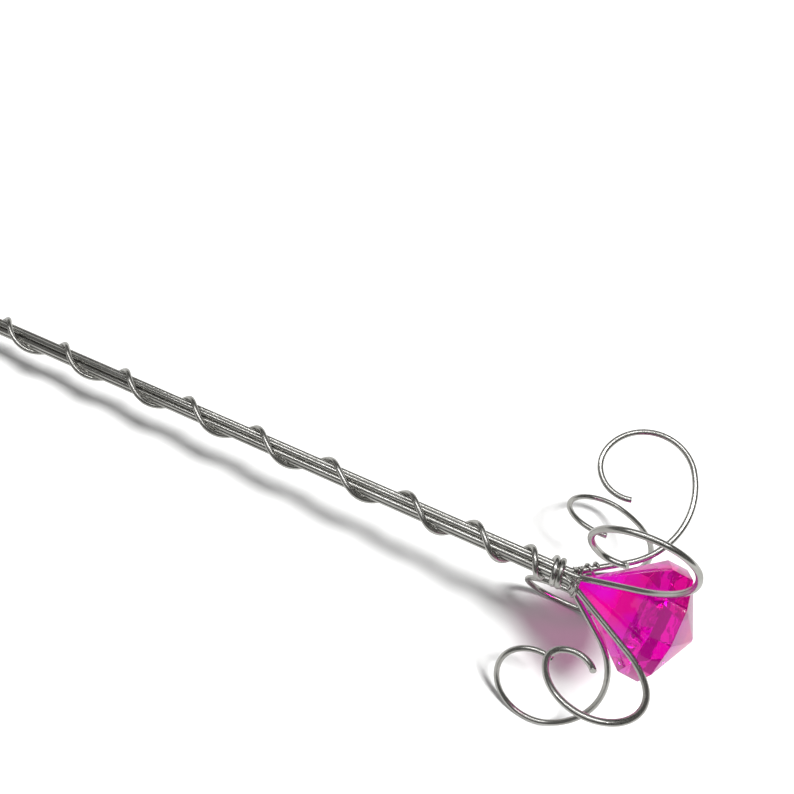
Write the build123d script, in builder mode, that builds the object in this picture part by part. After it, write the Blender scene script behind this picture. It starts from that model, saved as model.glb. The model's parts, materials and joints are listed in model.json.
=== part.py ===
"""A wire magic wand: a wrapped bundle of straight rods that opens into six scrolls round a gem.

Lengths are in millimetres and angles in degrees. The wand lies as it rests: its tail and two
of its scrolls touch the ground, Z is up and X runs from the tail to the head.
"""
from build123d import *

import os
from math import asin, atan, cos, degrees, radians, sin, tan

# Stock
ROD = 1.63                 # diameter of the rods and of the wrapping wire
HOOK = 0.9                 # diameter of the hook that catches the gem's cage
LASH = 0.45                # diameter of the thin lashing wire
FIT = 0.03                 # air between wires that lie against each other

# Shaft
SHAFT = 400                # from the tail to the neck, where the rods begin to part
NECK_UP = 37               # height of the shaft's axis at the neck
ROLL = 8.2                 # how far the ring of six rods is turned from upright

# Wrap
OPEN_PITCH = 25            # near enough: the open turns share their stretch of the shaft evenly
CLOSING = (20.5, 16, 7)    # the last turns draw together into the head collar
WRAP_TOP = 68.2            # where around the shaft each turn starts
WRAP_PAST_NECK = 1.87
WRAP_TO_TAIL = 2.1         # bare rod left at the tail
TAIL_TURNS = 2
NECK_TURNS = 1.55          # of the collar at the neck
NECK_GAP = 0.22            # between the turns of the collar at the neck
KNEE = 0.02                # swelling of the wire where its pitch changes

# Gem
GEM_SIDES = 10
GEM_RADIUS = 15.55
GEM_POINT = 18             # length of the cone of facets behind the girdle
GEM_GIRDLE = 5.4
GEM_CROWN = 7.8
GEM_TIP = 0.7              # radius of its blunt tips
GEM_AHEAD = 6.1            # from the neck to the gem's point
GEM_SAG = 10.5             # how far the gem droops from the line of the shaft
BUTT = 0.4                 # between the core's end and the gem's point

# Catches at the neck
HOOK_PITCH = 2.2
HOOK_TURNS = 1.3
HOOK_ALONG = 1.1           # from the foot of the leg to the hook's coil, past its own radius
LASH_START = 3.4           # where the lashing starts, past the neck
LASH_SLACK = 0.4           # between the lashing's first turn and the ring of rods
LASH_TURNS = 4
LASH_PITCH = 0.6
LASH_NARROWER = 11.5       # the lashing widens this much less than the gem's cone
CROSS_AT = 4.3             # the crossing strand's centre, past the neck
CROSS_OUT = 0.66           # how far it stands outside the lashing's last turn
CROSS_LEAN = 20
CROSS_LEAN_TO = 220

# Each scroll: its seat in the ring, the way it swings from upright towards the back, where it
# leaves the shaft, the radius of its bend at the neck and how much wider it opens than the
# gem's cone, its straight leg, and the bends of its curl as a radius and an angle each.
SCROLLS = {
    "top": (0, -4, 4.0, (6, -6.5), 15.5, [(22.5, 73), (12, 205), (5, 83)]),
    "back": (1, 79, 2.9, (4, -5.5), 12.5, [(23, 84), (12.5, 136), (9, 120)]),
    "low_back": (2, 126, 3.0, (4, 2.5), 10.0, [(23.5, 111), (9.5, 137), (12, 78)]),
    "bottom": (3, 169, 2.9, (4.5, 12.5), 10.0, [(18, 63), (12.5, 88), (11, 183)]),
    "low_front": (4, 217, 2.9, (3.5, 4.5), 14.5, [(20.5, 105), (12, 122), (10, 106)]),
    "front": (5, 298, 2.9, (3.5, -0.5), 23.0, [(20.5, 25), (11.5, 200), (5.5, 159)]),
}

RING = ROD + FIT                         # radius of the ring of six rods round the core
COIL = RING + ROD + FIT                  # radius of the wrap's centre line
LASH_RADIUS = RING + (ROD + LASH) / 2 + LASH_SLACK
CONE = degrees(atan((GEM_RADIUS - GEM_TIP) / GEM_POINT))   # half the angle of the gem's cone
LASH_FLARE = CONE - LASH_NARROWER        # half the angle of the lashing's own cone
CROSS_RADIUS = LASH_RADIUS + LASH_TURNS * LASH_PITCH * tan(radians(LASH_FLARE)) + CROSS_OUT
HOOK_RADIUS = (ROD + HOOK) / 2 + FIT
SLOPE = asin((NECK_UP - COIL - ROD / 2) / (SHAFT - WRAP_TO_TAIL))   # the tail rests its wrap

os.makedirs("parts", exist_ok=True)

along = Vector(cos(SLOPE), 0, sin(SLOPE))
up = Vector(-sin(SLOPE), 0, cos(SLOPE))
neck = Vector(0, 0, NECK_UP)


def out(angle):
    """The direction out from the shaft at an angle from upright, towards the back."""
    return up * cos(radians(angle)) + Vector(0, 1, 0) * sin(radians(angle))


def bend(name):
    """The centre line of a rod: straight in the shaft, then bent flat into its scroll."""
    seat, swing, leave, (radius, wider), leg, curl = SCROLLS[name]
    apart = radians(ROLL + 60 * seat - swing)
    start = neck + out(swing + 90) * RING * sin(apart)
    bench = Plane(origin=start, x_dir=along, z_dir=along.cross(out(swing)))
    height = RING * cos(apart)
    with BuildLine(mode=Mode.PRIVATE) as route:
        line = Line((-SHAFT, height), (leave, height))
        line = JernArc(line @ 1, line % 1, radius, CONE + wider)
        line = PolarLine(line @ 1, leg, direction=line % 1)
        for radius, angle in curl:
            line = JernArc(line @ 1, line % 1, radius, angle)
    return bench.location * route.line


def section(path, diameter):
    """A round section at the start of a path."""
    with BuildSketch(Plane(origin=path @ 0, z_dir=path % 0), mode=Mode.PRIVATE) as disc:
        Circle(diameter / 2)
    return disc.sketch


def draw(path, diameter):
    """Sweep round wire along a path, in the part that is being built."""
    sweep(section(path, diameter), path=path)


with BuildPart() as top_scroll_wire:
    draw(bend("top"), ROD)

with BuildPart() as back_scroll_wire:
    draw(bend("back"), ROD)

with BuildPart() as low_back_scroll_wire:
    draw(bend("low_back"), ROD)

with BuildPart() as bottom_scroll_wire:
    draw(bend("bottom"), ROD)

with BuildPart() as low_front_scroll_wire:
    draw(bend("low_front"), ROD)

with BuildPart() as front_scroll_wire:
    draw(bend("front"), ROD)

with BuildPart(Plane(origin=neck - along * SHAFT, z_dir=along)) as core_wire:
    Cylinder(ROD / 2, SHAFT + GEM_AHEAD - BUTT, align=(Align.CENTER, Align.CENTER, Align.MIN))

# The wrap runs from the tail collar to the head collar: every change of pitch gets a ball, so
# the wire stays round there.
tight = RING + FIT
neck_pitch = ROD + NECK_GAP
collars = TAIL_TURNS * tight + NECK_TURNS * neck_pitch
open_stretch = SHAFT + WRAP_PAST_NECK - WRAP_TO_TAIL - collars - sum(CLOSING)
open_turns = round(open_stretch / OPEN_PITCH)
turns = [(tight, TAIL_TURNS), (open_stretch / open_turns, open_turns)]
turns += [(pitch, 1) for pitch in CLOSING]
turns.append((neck_pitch, NECK_TURNS))
wrap_frame = Plane(
    origin=neck + along * (WRAP_TO_TAIL - SHAFT), x_dir=out(WRAP_TOP), z_dir=along
)
with BuildPart() as wrap_wire:
    reached = 0
    for pitch, count in turns:
        coil = Helix(pitch, pitch * count, COIL, center=(0, 0, reached), mode=Mode.PRIVATE)
        coil = wrap_frame.location * coil
        draw(coil, ROD)
        with Locations(coil @ 0, coil @ 1):
            Sphere(ROD / 2 + KNEE)
        reached += pitch * count

# The gem hangs in the cage by its point, and one of its edges is uppermost.
droop = SLOPE - radians(GEM_SAG)
gem_frame = Plane(
    origin=neck + along * GEM_AHEAD,
    x_dir=(-sin(droop), 0, cos(droop)),
    z_dir=(cos(droop), 0, sin(droop)),
)
with BuildPart(gem_frame) as gem:
    girdle = GEM_POINT + GEM_GIRDLE
    for height, radius in (
        (0, GEM_TIP),
        (GEM_POINT, GEM_RADIUS),
        (girdle, GEM_RADIUS),
        (girdle + GEM_CROWN, GEM_TIP),
    ):
        with BuildSketch(gem_frame.offset(height)):
            RegularPolygon(radius, GEM_SIDES)
    loft(ruled=True)

# The hook is coiled on the straight leg of the back scroll.
leg = bend("back").edges().filter_by(GeomType.LINE).sort_by(SortBy.LENGTH)[0]
hook_frame = Plane(
    origin=leg @ 0 + leg % 0 * (HOOK_ALONG + HOOK_RADIUS), x_dir=out(90), z_dir=leg % 0
)
with BuildPart() as hook_wire:
    coil = Helix(HOOK_PITCH, HOOK_PITCH * HOOK_TURNS, HOOK_RADIUS, mode=Mode.PRIVATE)
    draw(hook_frame.location * coil, HOOK)

# The lashing draws the six rods together over the gem's point.
lash_frame = Plane(origin=neck + along * LASH_START, x_dir=out(WRAP_TOP), z_dir=along)
with BuildPart() as lashing_wire:
    coil = Helix(
        LASH_PITCH,
        LASH_PITCH * LASH_TURNS,
        LASH_RADIUS,
        cone_angle=LASH_FLARE,
        mode=Mode.PRIVATE,
    )
    draw(lash_frame.location * coil, LASH)

cross_frame = Plane(
    origin=neck + along * CROSS_AT, z_dir=along + out(CROSS_LEAN_TO) * sin(radians(CROSS_LEAN))
)
with BuildPart(cross_frame) as cross_lashing_wire:
    Torus(CROSS_RADIUS, LASH / 2)

pieces = {
    "core_wire": core_wire,
    "top_scroll_wire": top_scroll_wire,
    "back_scroll_wire": back_scroll_wire,
    "low_back_scroll_wire": low_back_scroll_wire,
    "bottom_scroll_wire": bottom_scroll_wire,
    "low_front_scroll_wire": low_front_scroll_wire,
    "front_scroll_wire": front_scroll_wire,
    "wrap_wire": wrap_wire,
    "hook_wire": hook_wire,
    "lashing_wire": lashing_wire,
    "cross_lashing_wire": cross_lashing_wire,
    "gem": gem,
}

# The origin is the middle of the footprint, on the ground.
boxes = [piece.part.bounding_box() for piece in pieces.values()]
low = [min(tuple(box.min)[axis] for box in boxes) for axis in range(3)]
high = [max(tuple(box.max)[axis] for box in boxes) for axis in range(3)]
to_origin = Location((-(low[0] + high[0]) / 2, -(low[1] + high[1]) / 2, -low[2]))
for name, piece in pieces.items():
    placed = piece.part.moved(to_origin)
    placed.label = name
    export_step(placed, f"parts/{name}.step")
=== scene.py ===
"""A wire magic wand: a bundle of steel rods that opens into six scrolls round a pink gem."""
import json
from math import atan, cos, pi, radians, sin

import bpy
from mathutils import Matrix, Vector


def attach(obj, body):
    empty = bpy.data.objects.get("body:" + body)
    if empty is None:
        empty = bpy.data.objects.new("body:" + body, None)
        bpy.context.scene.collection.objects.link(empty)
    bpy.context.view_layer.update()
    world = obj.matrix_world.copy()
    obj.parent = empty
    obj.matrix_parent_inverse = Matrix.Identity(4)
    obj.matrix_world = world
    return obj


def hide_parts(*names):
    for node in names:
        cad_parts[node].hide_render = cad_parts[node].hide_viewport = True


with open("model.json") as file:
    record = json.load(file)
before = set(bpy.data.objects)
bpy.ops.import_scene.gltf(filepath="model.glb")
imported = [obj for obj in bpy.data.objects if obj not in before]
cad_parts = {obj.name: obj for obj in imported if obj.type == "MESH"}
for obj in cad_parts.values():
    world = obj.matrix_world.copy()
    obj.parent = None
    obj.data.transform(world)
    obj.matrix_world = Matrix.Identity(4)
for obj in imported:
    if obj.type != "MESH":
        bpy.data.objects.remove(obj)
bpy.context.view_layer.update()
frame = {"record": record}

bl_info = {
    "name": "Wire Magic Wand",
    "version": (1, 0, 0),
    "blender": (4, 5, 0),
    "location": "View3D > Sidebar > Wand",
    "description": "Builds a hand-bent wire wand with a faceted gem",
    "category": "Add Mesh",
}

MM = 0.001
ROUND = 20                 # sides of a wire
ARC_STEP = 3.5             # degrees of a bend between two rings
CUT_WIDE, EDGE_WIDE = 0.72, 0.92   # width of a cut end and of its broken edge
CUT_STEP, EDGE_STEP = 0.07, 0.16   # lengths of the two steps of the broken edge, in radii
CUT_LENGTH = CUT_STEP + EDGE_STEP
WIRE_SMOOTH, GEM_SMOOTH = radians(35), radians(12)   # sharper edges than these stay crisp
BUTT = 0.4                 # between the core's end and the gem's point
GEM_SIDES = 10
GEM_EDGE = 0.12            # width of the gem's softened edges

# Each scroll: its seat in the ring, the way it swings from upright towards the back, where it
# leaves the shaft, the radius of its bend at the neck and how much wider it opens than the
# gem's cone, its straight leg, and the bends of its curl as a radius and an angle each.
SCROLLS = {
    "top": (0, -4, 4.0, (6, -6.5), 15.5, [(22.5, 73), (12, 205), (5, 83)]),
    "back": (1, 79, 2.9, (4, -5.5), 12.5, [(23, 84), (12.5, 136), (9, 120)]),
    "low_back": (2, 126, 3.0, (4, 2.5), 10.0, [(23.5, 111), (9.5, 137), (12, 78)]),
    "bottom": (3, 169, 2.9, (4.5, 12.5), 10.0, [(18, 63), (12.5, 88), (11, 183)]),
    "low_front": (4, 217, 2.9, (3.5, 4.5), 14.5, [(20.5, 105), (12, 122), (10, 106)]),
    "front": (5, 298, 2.9, (3.5, -0.5), 23.0, [(20.5, 25), (11.5, 200), (5.5, 159)]),
}

# The wrap
COIL_STEPS = 40            # rings in a turn of a coil
TAIL_TURNS = 2
OPEN_PITCH = 25            # near enough: the open turns share their stretch evenly
CLOSING = (20.5, 16, 7)    # the last turns draw together into the collar
NECK_TURNS, NECK_GAP = 1.55, 0.22   # turns of the collar, and the air between them

# The hook
HOOK_ALONG = 1.1           # from the foot of the leg to the coil, past its own radius
HOOK_PITCH = 2.2
HOOK_LEAD = 1.55           # pitches over which its first turn is drawn out
HOOK_OPEN = 1.06           # how much wider its first turn starts
HOOK_FROM, HOOK_TO = 0.38, 2.3   # the turns that are kept

# The thin wires, drawn tight over the legs where they part
PARTING = 2.9              # how far past the neck the legs begin to part
BENT = 2.2                 # how far from there they run straight
BEND_RISE = 0.16           # how fast they rise up to there, times the distance squared
BENT_RISE, LEG_RISE = 0.78, 0.8   # how far out they are there, and how fast they rise after it
DIP = 0.11                 # how far a thin wire dips between two legs
DIVE_AT, DIVE_HALF = 4, 27   # where it dives under the top leg, and half the angle of the dive
DIVE_RADIUS = 0.95         # how near the shaft's axis it runs there
LASH_TURNS = 4.6
LASH_START, LASH_PITCH = 3.75, 0.46   # how far past the neck it starts, and its pitch
LASH_LEAN = -30            # where around the shaft its turns lean furthest forward
LASH_WAVER, LASH_WAVES = 0.15, 2.3   # how far they waver, and how often in a turn
CROSS_LIFT = 2.7           # the crossing strand is set out as if it were so many times thicker
CROSS_STEPS = 6            # rings between two of its points
CROSSING = (               # the crossing strand: how far past the neck, and where around it
    (2.7, -22), (2.9, -22), (3.8, -25), (4.8, -28), (5.8, -36), (6.5, -54), (6.3, -82),
    (5.6, -112), (4.9, -142), (4.4, -172), (4.3, -204), (4.4, -236), (4.7, -268), (5.0, -290),
)
CORNER = Vector((0, -1, 0))   # towards a corner of the gem, which is uppermost

# The looks
ROD_SOFT, THIN_SOFT = 0.16, 0.2   # roughness of clean wire
LINE_DEPTH, FLOW_DEPTH = 0.03, 0.3   # depth of the wire's drawn lines and the gem's ripples
GEM_INDEX = 1.49
GEM_DENSITY = 200.0        # how strongly light takes on colour inside the gem
# a painted glow: the gem gives off a little light of its own, though it is no lamp
GEM_PAINTED_GLOW = ((0.70, 0.0, 0.46), 0.12)
GEM_SHADOW = (0.42, 0.40, 0.33)   # colour of the light that the gem lets onto the floor

# The stage
FLOOR_RADIUS = 1.2
FLOOR_MIRRORED = (0.52, 0.52, 0.51)   # shade of the floor where the wires mirror it
# Dark cards that only the wires' reflections see: painted dark reflections in the steel
CARD_RADIUS = 0.9
CARD_REFLECTION_SHADE = (0.13, 0.13, 0.126)
CARDS = (                  # name, low and high edge, turn from the front, spread
    ("front_card", 2, 52, 27, 190),
    ("back_card", 2, 45, 207, 170),
)
# Each lamp: its name, place, length, width and power
KEY_LAMP = ("key_lamp", (0.97, 0.06, 2.0), 0.8, 0.42, 66.0)
STRIP_LAMP = ("strip_lamp", (-0.2, 0.25, 1.8), 3.0, 0.15, 14.0)
ROOM_LIGHT = 0.27          # light of the white room on the wand and the floor
GLEAM = 0.5                # how far that rises towards full white where the wires mirror it
CAMERA_FROM_NECK = (-0.0037, -0.0828, 0.2076)
CAMERA_TURN = (radians(31.0), 0, radians(27.4))
CAMERA_LENS, CAMERA_SENSOR = 37.45, 36
CAMERA_CLIP = (0.005, 50)


def mount(name):
    """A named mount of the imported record."""
    return next(each for each in frame["record"]["mounts"] if each["name"] == name)


TAIL = Vector(mount("tail_end")["pos_m"])
ALONG = -Vector(mount("tail_end")["axis"]).normalized()
UP = Vector((-ALONG.z, 0, ALONG.x))


def length(name, text, default):
    """A length in millimetres that a user can change."""
    return bpy.props.FloatProperty(name=name, description=text, default=default, min=0.01)


def angle(name, text, default):
    """An angle in degrees that a user can change."""
    return bpy.props.FloatProperty(name=name, description=text, default=default)


def colour(name, text, default):
    """A colour that a user can change."""
    return bpy.props.FloatVectorProperty(
        name=name, description=text, default=default, size=3, min=0, max=1, subtype="COLOR"
    )


class WandSizes(bpy.types.PropertyGroup):
    """The sizes of the wand, in millimetres and degrees."""

    rod: length("Rod", "Diameter of the rods and of the wrapping wire", 1.63)
    hook: length("Hook wire", "Diameter of the hook", 0.9)
    lash: length("Lashing wire", "Diameter of the thin lashing wire", 0.45)
    fit: length("Fit", "Air between wires that lie against each other", 0.03)
    shaft: length("Shaft", "From the tail to the neck", 400)
    roll: angle("Roll", "How far the ring of rods is turned from upright", 8.2)
    wrap_top: angle("Wrap start", "Where around the shaft each turn starts", 68.2)
    wrap_to_tail: length("Bare tail", "Bare rod left at the tail", 2.1)
    wrap_past_neck: length("Past the neck", "How far the collar runs past the neck", 1.87)
    gem_radius: length("Gem radius", "Radius of the gem's girdle at its corners", 15.55)
    gem_point: length("Gem point", "Length of the cone of facets", 18)
    gem_girdle: length("Girdle", "Height of the gem's girdle", 5.4)
    gem_crown: length("Crown", "Height of the gem's crown", 7.8)
    gem_tip: length("Gem tips", "Radius of the gem's blunt tips", 0.7)
    gem_ahead: length("Gem ahead", "From the neck to the gem's point", 6.1)
    gem_sag: angle("Gem sag", "How far the gem droops from the line of the shaft", 10.5)


class WandColours(bpy.types.PropertyGroup):
    """The colours of the wand."""

    steel: colour("Steel", "Colour of the drawn wire", (0.60, 0.595, 0.57))
    steel_dull: colour("Dull steel", "Colour of the tarnished wire", (0.40, 0.395, 0.37))
    gem: colour("Gem", "Colour of the gem's surface", (0.79, 0.24, 0.70))
    gem_warm: colour("Warm gem", "Colour of the gem's coral parts", (0.90, 0.20, 0.34))
    gem_depth: colour("Gem depth", "Colour of light inside the gem", (0.955, 0.0, 0.925))
    floor: colour("Floor", "Colour of the floor", (0.93, 0.93, 0.925))


# Materials


class Socket:
    """A socket of a material's nodes that takes part in arithmetic."""

    def __init__(self, nodes, socket):
        self.nodes, self.socket = nodes, socket

    def worked_out(self, operation, *values):
        node = self.nodes.add("ShaderNodeMath", {"operation": operation}, dict(enumerate(values)))
        return node.out()

    def __add__(self, other):
        return self.worked_out("ADD", self, other)

    def __radd__(self, other):
        return self.worked_out("ADD", other, self)

    def __sub__(self, other):
        return self.worked_out("SUBTRACT", self, other)

    def __mul__(self, other):
        return self.worked_out("MULTIPLY", self, other)


class Node:
    """A node whose outputs are read by name or number."""

    def __init__(self, nodes, node):
        self.nodes, self.node = nodes, node

    def out(self, name=0):
        return Socket(self.nodes, self.node.outputs[name])


class Nodes:
    """The node tree of a material or of the world."""

    def __init__(self, owner):
        owner.use_nodes = True
        self.tree = owner.node_tree
        self.tree.nodes.clear()

    def add(self, kind, settings=None, inputs=None):
        """Adds a node, sets its settings and then the values or links of its sockets."""
        node = self.tree.nodes.new(kind)
        for name, value in (settings or {}).items():
            if name == "stops":
                ramp = node.color_ramp
                while len(ramp.elements) < len(value):
                    ramp.elements.new(1)
                for element, (place, shade) in zip(ramp.elements, value):
                    element.position, element.color = place, (*shade, 1)
            else:
                setattr(node, name, value)
        for name, value in (inputs or {}).items():
            if isinstance(value, Socket):
                self.tree.links.new(value.socket, node.inputs[name])
            else:
                socket = node.inputs[name]
                socket.default_value = (*value, 1) if socket.type == "RGBA" else value
        return Node(self, node)

    def scaled(self, vector, scale):
        """A vector stretched by a number for each axis."""
        return self.add(
            "ShaderNodeVectorMath", {"operation": "MULTIPLY"}, {0: vector, 1: scale}
        ).out()

    def noise(self, vector, scale, detail):
        """Noise from 0 to 1."""
        return self.add(
            "ShaderNodeTexNoise", None, {"Vector": vector, "Scale": scale, "Detail": detail}
        ).out()

    def within(self, value, low, high):
        """How far a value is from low to high, from 0 to 1."""
        inputs = {"Value": value, "From Min": low, "From Max": high}
        return self.add("ShaderNodeMapRange", {"clamp": True}, inputs).out()

    def mixed(self, amount, first, second):
        """A mix of two colours."""
        return self.add(
            "ShaderNodeMix", {"data_type": "RGBA"}, {0: amount, 6: first, 7: second}
        ).out(2)

    def finish(self, shader, volume=None):
        inputs = {"Surface": shader}
        if volume:
            inputs["Volume"] = volume
        self.add("ShaderNodeOutputMaterial", None, inputs)


def drawn_steel(name, shade, dull, softness):
    """Bright drawn wire: fine lines along it, soft smears of tarnish and small nicks."""
    material = bpy.data.materials.new(name)
    nodes = Nodes(material)
    wire = nodes.add("ShaderNodeAttribute", {"attribute_name": "straight"}).out("Vector")
    lines = nodes.noise(nodes.scaled(wire, (1, 1, 0.006)), 5200, 3)
    streaks = nodes.noise(nodes.scaled(wire, (1, 1, 0.02)), 1500, 2)
    smears = nodes.noise(nodes.scaled(wire, (1, 1, 0.35)), 420, 4)
    nicks = nodes.within(nodes.noise(nodes.scaled(wire, (1, 1, 0.6)), 2600, 2), 0.70, 0.80)
    tarnish = nodes.within(smears * 0.6 + streaks * 0.4, 0.42, 0.68)
    base = nodes.mixed(tarnish, shade, dull)
    roughness = softness + tarnish * 0.10 + lines * 0.06 + nicks * 0.15
    height = lines * 0.5 + streaks * 0.5 - nicks * 0.8
    bump = nodes.add(
        "ShaderNodeBump", None, {"Strength": 0.1, "Distance": LINE_DEPTH * MM, "Height": height}
    ).out()
    shader = nodes.add(
        "ShaderNodeBsdfPrincipled",
        None,
        {"Base Color": base, "Metallic": 1.0, "Roughness": roughness, "Normal": bump},
    )
    nodes.finish(shader.out())
    return material


def clear_acrylic(name, shade, warm_shade, depth):
    """Moulded clear acrylic that takes its colour from its depth, with a painted glow of its own.
    """
    material = bpy.data.materials.new(name)
    nodes = Nodes(material)
    # the emission is a painted glow, not a lamp
    painted_glow, painted_glow_strength = GEM_PAINTED_GLOW
    place = nodes.add("ShaderNodeTexCoord").out("Object")
    flow = nodes.noise(place, 260, 2)
    wear = nodes.within(nodes.noise(place, 1400, 3), 0.55, 0.75)
    warm = nodes.within(nodes.noise(place, 95, 1), 0.48, 0.60)
    bump = nodes.add(
        "ShaderNodeBump", None, {"Strength": 0.2, "Distance": FLOW_DEPTH * MM, "Height": flow}
    ).out()
    shader = nodes.add(
        "ShaderNodeBsdfPrincipled",
        None,
        {
            "Base Color": nodes.mixed(warm, shade, warm_shade),
            "Roughness": 0.015 + wear * 0.05,
            "IOR": GEM_INDEX,
            "Transmission Weight": 1.0,
            "Emission Color": painted_glow,
            "Emission Strength": painted_glow_strength,
            "Normal": bump,
        },
    )
    path = nodes.add("ShaderNodeLightPath")
    shadow = nodes.add(
        "ShaderNodeMath", {"operation": "MAXIMUM"},
        {0: path.out("Is Shadow Ray"), 1: path.out("Is Diffuse Ray")},
    ).out()
    clear = nodes.add("ShaderNodeBsdfTransparent", None, {"Color": GEM_SHADOW})
    mix = nodes.add("ShaderNodeMixShader", None, {0: shadow, 1: shader.out(), 2: clear.out()})
    inside = {"Color": depth, "Density": GEM_DENSITY}
    volume = nodes.add("ShaderNodeVolumeAbsorption", None, inside)
    nodes.finish(mix.out(), volume.out())
    return material


# Making


def out(degrees):
    """The direction out from the shaft at an angle from upright, towards the back."""
    return UP * cos(radians(degrees)) + Vector((0, 1, 0)) * sin(radians(degrees))


def turned(place, heading, side):
    """A frame at a place, with Z along the heading and X towards the side."""
    z = heading.normalized()
    x = (side - side.dot(z) * z).normalized()
    turn = Matrix((x, z.cross(x), z)).transposed().to_4x4()
    return Matrix.Translation(place) @ turn


def settle(name):
    """Names the object at hand, and puts its place into its mesh."""
    piece = bpy.context.object
    piece.name = piece.data.name = name
    bpy.ops.object.transform_apply(location=True, rotation=True, scale=True)
    return piece


def hand_over(piece, node, material):
    """Gives a finished piece its material and its body, and hides the CAD node it stands for."""
    piece.data.materials.clear()
    piece.data.materials.append(material)
    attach(piece, "root")
    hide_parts(node)


def straighten(mesh, reached, radius):
    """Keeps for each point of a wire where it would be if the wire were straight."""
    straight = mesh.attributes.new("straight", "FLOAT_VECTOR", "POINT")
    for index in range(len(mesh.vertices)):
        ring, step = divmod(index, ROUND)
        turn = 2 * pi * step / ROUND
        straight.data[index].vector = (
            radius * cos(turn), radius * sin(turn), reached[min(ring, len(reached) - 1)]
        )


class Drawing:
    """A round wire that is drawn out from its cut end, with its open end selected."""

    def __init__(self, place, heading, side, diameter):
        self.place, self.heading = place.copy(), heading.normalized()
        self.radius, self.reached = diameter / 2, [0.0]
        bpy.ops.object.select_all(action="DESELECT")
        at = turned(place, heading, side)
        bpy.ops.mesh.primitive_circle_add(
            vertices=ROUND, radius=self.radius, fill_type="NGON",
            location=at.to_translation(), rotation=at.to_euler(),
        )
        settle("wire")
        bpy.ops.object.mode_set(mode="EDIT")
        bpy.ops.mesh.select_mode(type="FACE")
        bpy.ops.mesh.select_all(action="SELECT")
        self.widen(CUT_WIDE)
        self.run(CUT_STEP * self.radius)
        self.widen(EDGE_WIDE / CUT_WIDE)
        self.run(EDGE_STEP * self.radius)
        self.widen(1 / EDGE_WIDE)

    def widen(self, share):
        bpy.ops.transform.resize(value=(share,) * 3, center_override=self.place)

    def run(self, distance):
        """Draws the wire on, straight."""
        bpy.ops.mesh.extrude_region_move(
            TRANSFORM_OT_translate={"value": self.heading * distance}
        )
        self.place += self.heading * distance
        self.reached.append(self.reached[-1] + distance)

    def bend(self, inward, radius, degrees):
        """Bends the wire on, towards the inward side."""
        inward = (inward - inward.dot(self.heading) * self.heading).normalized()
        centre, axis = self.place + inward * radius, self.heading.cross(inward)
        steps = max(2, round(degrees / ARC_STEP))
        bpy.ops.mesh.spin(steps=steps, angle=radians(degrees), center=centre, axis=-axis)
        turn = Matrix.Rotation(radians(degrees), 3, axis)
        self.place = centre + turn @ (self.place - centre)
        self.heading = turn @ self.heading
        for _ in range(steps):
            self.reached.append(self.reached[-1] + radius * radians(degrees) / steps)

    def cut(self, name):
        """Cuts the wire off, with its edge broken, and returns the piece."""
        self.run(EDGE_STEP * self.radius)
        self.widen(EDGE_WIDE)
        self.run(CUT_STEP * self.radius)
        self.widen(CUT_WIDE / EDGE_WIDE)
        bpy.ops.mesh.select_all(action="SELECT")
        bpy.ops.mesh.normals_make_consistent(inside=False)
        bpy.ops.object.mode_set(mode="OBJECT")
        piece = settle(name)
        straighten(piece.data, self.reached, self.radius)
        bpy.ops.object.shade_smooth_by_angle(angle=WIRE_SMOOTH)
        return piece


def wound(name, points, diameter):
    """A wire wound along points, with broken edges at its cut ends."""
    bpy.ops.object.select_all(action="DESELECT")
    bpy.ops.curve.primitive_nurbs_path_add()
    piece = bpy.context.object
    curve = piece.data
    curve.splines.clear()
    spline = curve.splines.new("POLY")
    radius = diameter / 2
    ends = []
    for end, inner in ((points[0], points[1]), (points[-1], points[-2])):
        inward = (inner - end).normalized()
        ends.append([end, end + inward * CUT_STEP * radius, end + inward * CUT_LENGTH * radius])
    points = ends[0] + points[1:-1] + ends[1][::-1]
    cut = [CUT_WIDE, EDGE_WIDE, 1.0]
    swell = cut + [1.0] * (len(points) - 6) + cut[::-1]
    spline.points.add(len(points) - 1)
    for point, place, size in zip(spline.points, points, swell):
        point.co, point.radius = (*place, 1), size
    curve.dimensions = "3D"
    curve.twist_mode = "MINIMUM"
    curve.bevel_depth = radius
    curve.bevel_resolution = (ROUND - 4) // 2
    piece.location = (0, 0, 0)
    bpy.ops.object.convert(target="MESH")
    piece = settle(name)
    reached = [0.0]
    for one, other in zip(points, points[1:]):
        reached.append(reached[-1] + (other - one).length)
    straighten(piece.data, reached, radius)
    bpy.ops.object.mode_set(mode="EDIT")
    bpy.ops.mesh.select_all(action="SELECT")
    bpy.ops.mesh.fill_holes(sides=0)
    bpy.ops.mesh.select_all(action="SELECT")
    bpy.ops.mesh.normals_make_consistent(inside=False)
    bpy.ops.object.mode_set(mode="OBJECT")
    bpy.ops.object.shade_smooth_by_angle(angle=WIRE_SMOOTH)
    return piece


def coiled(place, axis, side, marks):
    """Points of a coil whose turns start at the marks: how far along the axis, and how wide."""
    across = axis.cross(side)
    points = []
    last = len(marks) - 1
    for turn in range(last):
        before, after = marks[max(turn - 1, 0)], marks[min(turn + 2, last)]
        start, end = marks[turn], marks[turn + 1]
        for step in range(COIL_STEPS + (turn == last - 1)):
            t = step / COIL_STEPS
            rise, wide = (
                eased(t, a, b, c, d) for a, b, c, d in zip(before, start, end, after)
            )
            turned_by = 2 * pi * t
            points.append(
                place + axis * rise + (side * cos(turned_by) + across * sin(turned_by)) * wide
            )
    return points


def eased(t, before, start, end, after):
    """A value between start and end that passes smoothly from one stretch to the next."""
    rise = end - start
    first = (rise + (start - before)) / 2 if start != before else rise
    last = (rise + (after - end)) / 2 if after != end else rise
    return (
        start + first * t + (3 * rise - 2 * first - last) * t**2
        + (first + last - 2 * rise) * t**3
    )


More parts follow.
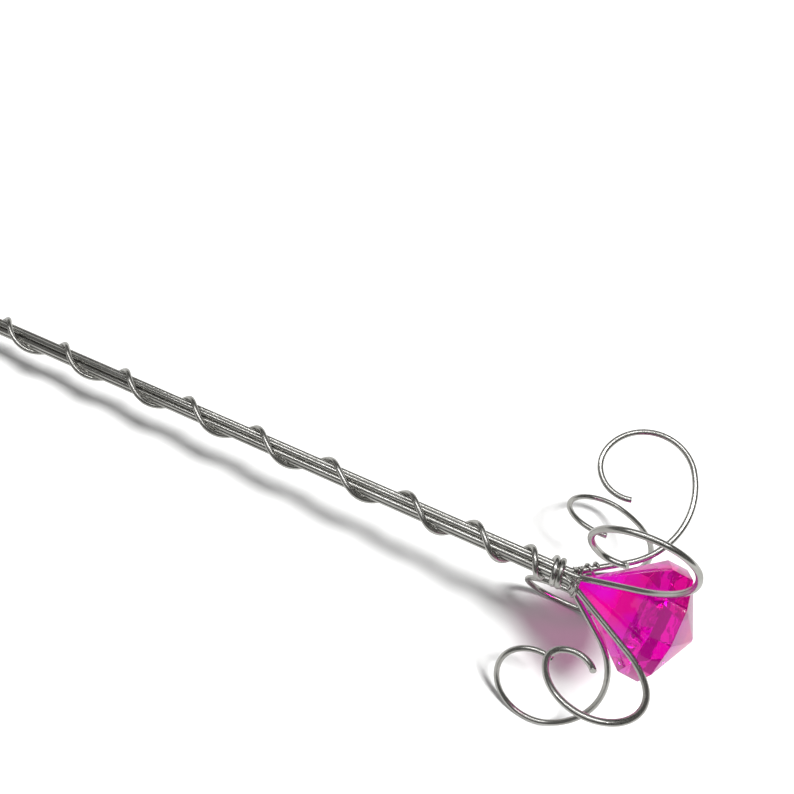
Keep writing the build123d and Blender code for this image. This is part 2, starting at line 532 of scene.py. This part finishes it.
def wind_hook(name, node, wire, material, size):
    """Winds the hook round the back scroll's leg."""
    seat, swing, leave, (radius, wider), *_ = SCROLLS["back"]
    slant = radians(size["cone"] + wider)
    heading = ALONG * cos(slant) + out(swing) * sin(slant)
    apart = radians(size["roll"] + 60 * seat - swing)
    foot = size["neck"] + out(swing + 90) * size["ring"] * sin(apart)
    foot += out(swing) * size["ring"] * cos(apart) + ALONG * (leave + radius * sin(slant)) * MM
    foot += out(swing) * radius * (1 - cos(slant)) * MM
    wide = (size["rod"] + wire) / 2 + size["fit"]
    place = foot + heading * (HOOK_ALONG * MM + wide)
    side = (out(90) - out(90).dot(heading) * heading).normalized()
    pitch = HOOK_PITCH * MM
    marks = [(-HOOK_LEAD * pitch, wide * HOOK_OPEN), (0, wide), (pitch, wide), (pitch * 2, wide)]
    points = coiled(place, heading, side, marks)
    points = points[round(HOOK_FROM * COIL_STEPS): round(HOOK_TO * COIL_STEPS) + 1]
    hand_over(wound(name, points, wire), node, material)


def snug(size, wire, past_neck, degrees):
    """A point of a thin wire drawn tight over the legs where they part, and under the top leg."""
    spread = past_neck - PARTING
    if spread > BENT:
        spread = BENT_RISE + (spread - BENT) * LEG_RISE
    else:
        spread = BEND_RISE * max(spread, 0) ** 2
    seat = radians(len(SCROLLS) * (degrees - size["roll"]))
    wide = size["ring"] + (size["rod"] + wire) / 2 - DIP * MM * (1 - cos(seat)) + spread * MM
    off_top = abs((degrees - DIVE_AT + 180) % 360 - 180)
    under = max(0.0, 1 - off_top / DIVE_HALF) ** 0.5
    wide -= under * (wide - DIVE_RADIUS * MM)
    return size["neck"] + ALONG * past_neck * MM + out(degrees) * wide


def wind_lashing(name, node, slot, wire, material, size):
    """Winds the lashing round the legs."""
    points = []
    for step in range(round(LASH_TURNS * COIL_STEPS) + 1):
        turn = step / COIL_STEPS
        degrees = size["wrap_top"] - 360 * turn
        lean = cos(radians(degrees - LASH_LEAN))
        lean += LASH_WAVER * sin(radians(degrees * LASH_WAVES))
        points.append(snug(size, wire, LASH_START + LASH_PITCH * turn + lean, degrees))
    hand_over(wound(name, points, wire), node, material)


def wind_cross(name, node, slot, wire, material, size):
    """Lays the crossing strand over the lashing."""
    points = []
    for marks in zip(CROSSING, CROSSING[1:], CROSSING[2:], CROSSING[3:]):
        for step in range(CROSS_STEPS):
            past_neck, degrees = (eased(step / CROSS_STEPS, *each) for each in zip(*marks))
            points.append(snug(size, CROSS_LIFT * wire, past_neck, degrees))
    hand_over(wound(name, points, wire), node, material)


def sizes():
    """The wand's sizes, with what follows from them, in metres and degrees."""
    given = bpy.context.scene.wand_sizes
    flat = ("roll", "wrap_top", "gem_sag")
    size = {name: getattr(given, name) for name in WandSizes.__annotations__}
    size = {name: value if name in flat else value * MM for name, value in size.items()}
    size["ring"] = size["rod"] + size["fit"]
    size["coil"] = size["ring"] + size["rod"] + size["fit"]
    size["cone"] = atan((size["gem_radius"] - size["gem_tip"]) / size["gem_point"]) * 180 / pi
    size["neck"] = TAIL + ALONG * size["shaft"]
    return size


def steel():
    """The rods' steel, made once."""
    given = bpy.context.scene.wand_colours
    return bpy.data.materials.get("drawn_steel") or drawn_steel(
        "drawn_steel", given.steel, given.steel_dull, ROD_SOFT
    )


def thin_steel():
    """The thin wire's steel, a little duller, made once."""
    given = bpy.context.scene.wand_colours
    return bpy.data.materials.get("thin_steel") or drawn_steel(
        "thin_steel", given.steel, given.steel_dull, THIN_SOFT
    )


class WAND_OT_rods(bpy.types.Operator):
    """Draws the core rod and bends the six scroll rods"""

    bl_idname = "wand.rods"
    bl_label = "Rods and Scrolls"

    def execute(self, context):
        size = sizes()
        core = Drawing(TAIL, ALONG, UP, size["rod"])
        core.run(size["shaft"] + size["gem_ahead"] - BUTT * MM - 2 * CUT_LENGTH * core.radius)
        hand_over(core.cut("core_rod"), "core_wire", steel())
        for name, (seat, swing, leave, (radius, wider), leg, curl) in SCROLLS.items():
            apart = radians(size["roll"] + 60 * seat - swing)
            start = TAIL + out(swing + 90) * size["ring"] * sin(apart)
            start += out(swing) * size["ring"] * cos(apart)
            rod = Drawing(start, ALONG, out(swing), size["rod"])
            rod.run(size["shaft"] + leave * MM - CUT_LENGTH * rod.radius)
            axis = ALONG.cross(out(swing))
            rod.bend(axis.cross(rod.heading), radius * MM, size["cone"] + wider)
            rod.run(leg * MM)
            for radius, degrees in curl:
                rod.bend(axis.cross(rod.heading), radius * MM, degrees)
            rod.place -= rod.heading * CUT_LENGTH * rod.radius
            piece = rod.cut(name + "_scroll_rod")
            hand_over(piece, name + "_scroll_wire", steel())
        return {"FINISHED"}


class WAND_OT_wrap(bpy.types.Operator):
    """Winds the wrapping wire round the rods, from the tail collar to the collar at the neck"""

    bl_idname = "wand.wrap"
    bl_label = "Wrap"

    def execute(self, context):
        size = sizes()
        tight = size["ring"] + size["fit"]
        closing = [pitch * MM for pitch in CLOSING]
        stretch = size["shaft"] + size["wrap_past_neck"] - size["wrap_to_tail"]
        neck_pitch = size["rod"] + NECK_GAP * MM
        stretch -= TAIL_TURNS * tight + NECK_TURNS * neck_pitch + sum(closing)
        count = round(stretch / (OPEN_PITCH * MM))
        pitches = [tight] * TAIL_TURNS + [stretch / count] * count + closing
        pitches += [neck_pitch] * 2
        marks = [size["wrap_to_tail"]]
        for pitch in pitches:
            marks.append(marks[-1] + pitch)
        side = out(size["wrap_top"])
        points = coiled(TAIL, ALONG, side, [(mark, size["coil"]) for mark in marks])
        points = points[: round((len(pitches) - 2 + NECK_TURNS) * COIL_STEPS) + 1]
        hand_over(wound("wrap", points, size["rod"]), "wrap_wire", steel())
        return {"FINISHED"}


class WAND_OT_catches(bpy.types.Operator):
    """Winds the hook, the lashing and the strand across it"""

    bl_idname = "wand.catches"
    bl_label = "Hook and Lashing"

    def execute(self, context):
        size = sizes()
        thin = size["lash"], thin_steel(), size
        wind_hook("hook", "hook_wire", size["hook"], steel(), size)
        wind_lashing("lashing", "lashing_wire", "thin_wire", *thin)
        wind_cross("cross_lashing", "cross_lashing_wire", "thin_wire", *thin)
        return {"FINISHED"}


class WAND_OT_gem(bpy.types.Operator):
    """Cuts the ten-sided gem"""

    bl_idname = "wand.gem"
    bl_label = "Gem"

    def execute(self, context):
        size = sizes()
        slope = atan(ALONG.z / ALONG.x)
        droop = slope - radians(size["gem_sag"])
        axis, side = Vector((cos(droop), 0, sin(droop))), Vector((-sin(droop), 0, cos(droop)))
        place = size["neck"] + ALONG * size["gem_ahead"]
        at = turned(place, axis, side)
        bpy.ops.object.select_all(action="DESELECT")
        bpy.ops.mesh.primitive_circle_add(
            vertices=GEM_SIDES, radius=size["gem_tip"], fill_type="NGON",
            location=place, rotation=turned(place, axis, at.to_3x3() @ CORNER).to_euler(),
        )
        piece = settle("faceted_gem")
        bpy.ops.object.mode_set(mode="EDIT")
        bpy.ops.mesh.select_mode(type="FACE")
        bpy.ops.mesh.select_all(action="SELECT")
        radius = size["gem_tip"]
        for rise, wide in (
            (size["gem_point"], size["gem_radius"]),
            (size["gem_girdle"], size["gem_radius"]),
            (size["gem_crown"], size["gem_tip"]),
        ):
            bpy.ops.mesh.extrude_region_move(TRANSFORM_OT_translate={"value": axis * rise})
            place = place + axis * rise
            bpy.ops.transform.resize(value=(wide / radius,) * 3, center_override=place)
            radius = wide
        bpy.ops.mesh.select_all(action="SELECT")
        bpy.ops.mesh.normals_make_consistent(inside=False)
        bpy.ops.mesh.bevel(offset=GEM_EDGE * MM, segments=2, affect="EDGES")
        bpy.ops.object.mode_set(mode="OBJECT")
        bpy.ops.object.shade_smooth_by_angle(angle=GEM_SMOOTH)
        given = context.scene.wand_colours
        hand_over(piece, "gem", clear_acrylic(
            "pink_acrylic", given.gem, given.gem_warm, given.gem_depth
        ))
        return {"FINISHED"}


def hang(name, place, long, wide, power):
    """Hangs a lamp that shines straight down."""
    lamp = bpy.data.lights.new(name, "AREA")
    lamp.shape, lamp.size, lamp.size_y, lamp.energy = "RECTANGLE", long, wide, power
    held = bpy.data.objects.new(name, lamp)
    bpy.context.scene.collection.objects.link(held)
    held.location = place
    return held


class WAND_OT_stage(bpy.types.Operator):
    """Lays the floor, hangs the lamps and sets the camera"""

    bl_idname = "wand.stage"
    bl_label = "Stage"

    def execute(self, context):
        size = sizes()
        given = context.scene.wand_colours
        bpy.ops.object.select_all(action="DESELECT")
        bpy.ops.mesh.primitive_circle_add(vertices=96, radius=FLOOR_RADIUS, fill_type="NGON")
        floor = settle("floor")
        material = bpy.data.materials.new("pale_board")
        nodes = Nodes(material)
        mirrored = nodes.add("ShaderNodeLightPath").out("Is Glossy Ray")
        shade = nodes.mixed(mirrored, given.floor, FLOOR_MIRRORED)
        board = nodes.add("ShaderNodeBsdfDiffuse", None, {"Color": shade})
        nodes.finish(board.out())
        floor.data.materials.append(material)
        # dark cards seen only in reflections, which paint dark streaks into the wires
        for name, low, high, turn, spread in CARDS:
            bpy.ops.object.select_all(action="DESELECT")
            bpy.ops.mesh.primitive_grid_add(x_subdivisions=24, y_subdivisions=8, size=1)
            card = settle(name)
            for point in card.data.vertices:
                across = radians(point.co.x * spread + turn)
                rise = radians(low + (high - low) * (point.co.y + 0.5))
                point.co = CARD_RADIUS * Vector((
                    sin(across) * cos(rise), -cos(across) * cos(rise), sin(rise)
                ))
            material = bpy.data.materials.new(name)
            nodes = Nodes(material)
            nodes.finish(nodes.add("ShaderNodeBsdfDiffuse", None, {"Color": CARD_REFLECTION_SHADE}).out())
            card.data.materials.append(material)
            card.visible_camera = card.visible_shadow = card.visible_diffuse = False
            card.visible_transmission = False
        key = hang(*KEY_LAMP)
        key.rotation_euler = turned(Vector(), key.location - size["neck"], ALONG).to_euler()
        key.visible_glossy = False
        strip = hang(*STRIP_LAMP)
        strip.visible_diffuse = strip.visible_transmission = False
        world = bpy.data.worlds.new("room")
        context.scene.world = world
        nodes = Nodes(world)
        path = nodes.add("ShaderNodeLightPath")
        seen = nodes.add(
            "ShaderNodeMath", {"operation": "MAXIMUM"},
            {0: path.out("Is Camera Ray"), 1: path.out("Is Transmission Ray")},
        ).out()
        mirrored = path.out("Is Glossy Ray") * GLEAM
        seen = nodes.add("ShaderNodeMath", {"operation": "MAXIMUM"}, {0: seen, 1: mirrored}).out()
        room = nodes.add(
            "ShaderNodeBackground", None,
            {"Color": (1.0, 1.0, 1.0), "Strength": seen * (1 - ROOM_LIGHT) + ROOM_LIGHT},
        )
        nodes.add("ShaderNodeOutputWorld", None, {"Surface": room.out()})
        camera = bpy.data.cameras.new("camera")
        camera.sensor_width, camera.lens = CAMERA_SENSOR, CAMERA_LENS
        camera.clip_start, camera.clip_end = CAMERA_CLIP
        held = bpy.data.objects.new("camera", camera)
        context.scene.collection.objects.link(held)
        held.location = size["neck"] + Vector(CAMERA_FROM_NECK)
        held.rotation_euler = CAMERA_TURN
        context.scene.camera = held
        context.scene.view_settings.view_transform = "Standard"
        return {"FINISHED"}


OPERATORS = (WAND_OT_rods, WAND_OT_wrap, WAND_OT_catches, WAND_OT_gem, WAND_OT_stage)


class WAND_PT_panel(bpy.types.Panel):
    """The wand's pieces, sizes and colours"""

    bl_idname = "WAND_PT_panel"
    bl_label = "Wire Magic Wand"
    bl_space_type = "VIEW_3D"
    bl_region_type = "UI"
    bl_category = "Wand"

    def draw(self, context):
        for operator in OPERATORS:
            self.layout.operator(operator.bl_idname)
        for group in (context.scene.wand_sizes, context.scene.wand_colours):
            for name in group.__annotations__:
                self.layout.prop(group, name)


CLASSES = (WandSizes, WandColours, *OPERATORS, WAND_PT_panel)


def register():
    for each in CLASSES:
        bpy.utils.register_class(each)
    bpy.types.Scene.wand_sizes = bpy.props.PointerProperty(type=WandSizes)
    bpy.types.Scene.wand_colours = bpy.props.PointerProperty(type=WandColours)


def unregister():
    del bpy.types.Scene.wand_colours
    del bpy.types.Scene.wand_sizes
    for each in reversed(CLASSES):
        bpy.utils.unregister_class(each)


def main():
    register()
    for operator in OPERATORS:
        group, name = operator.bl_idname.split(".")
        getattr(getattr(bpy.ops, group), name)()


if __name__ == "__main__":
    main()
